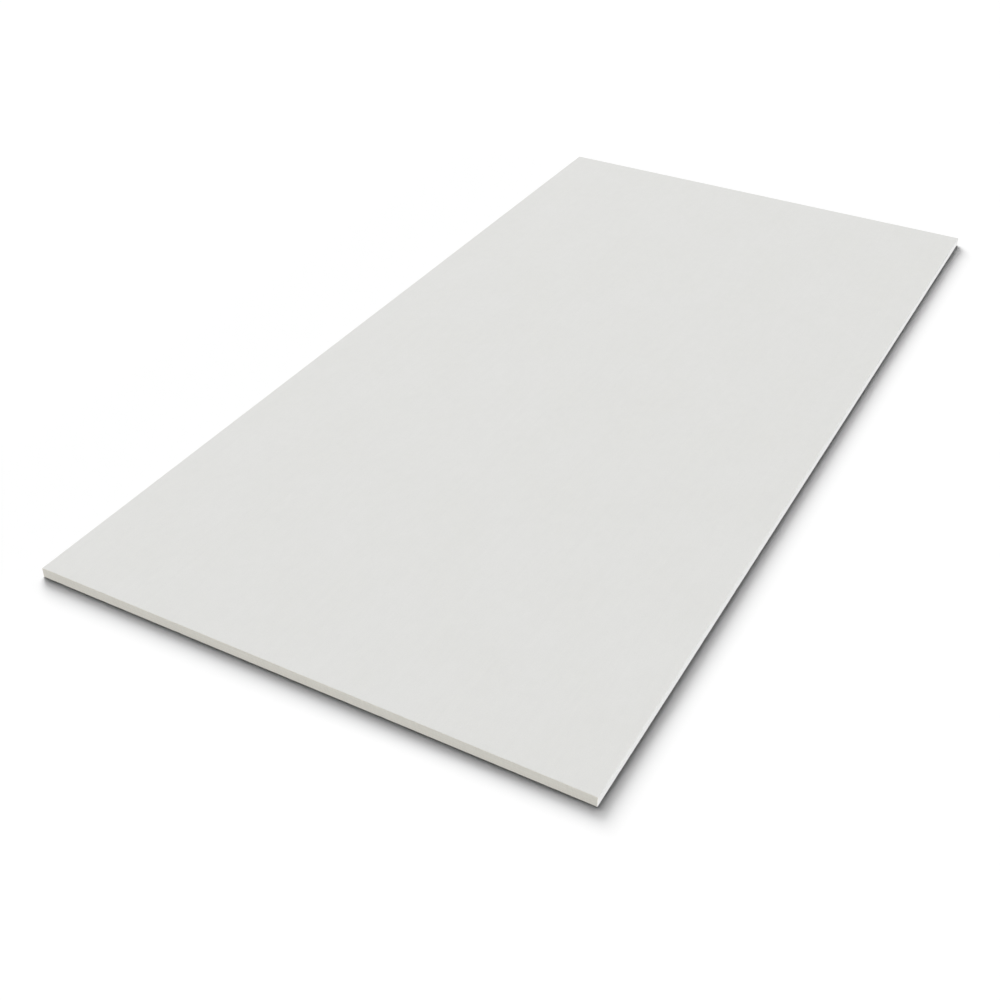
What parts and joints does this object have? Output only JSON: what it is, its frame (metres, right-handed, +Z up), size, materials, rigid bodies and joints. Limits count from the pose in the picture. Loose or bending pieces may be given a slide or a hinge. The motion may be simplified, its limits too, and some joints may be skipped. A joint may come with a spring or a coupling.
{
  "type": "fiber cement board",
  "caption": "Flat rectangular sheet of fibre cement, twice as long as wide, with a smooth face, a felt-marked back and square trimmed edges.",
  "frame": {"origin": "middle of the back face, which lies on the floor", "axes": "+X across the width, +Y along the length, +Z up through the thickness, out of the smooth face"},
  "size_m": [1.2, 2.4, 0.022],
  "materials": {
    "fibre_cement": "matte"
  },
  "bodies": {
    "root": {"board": "fibre_cement"}
  },
  "joints": []
}
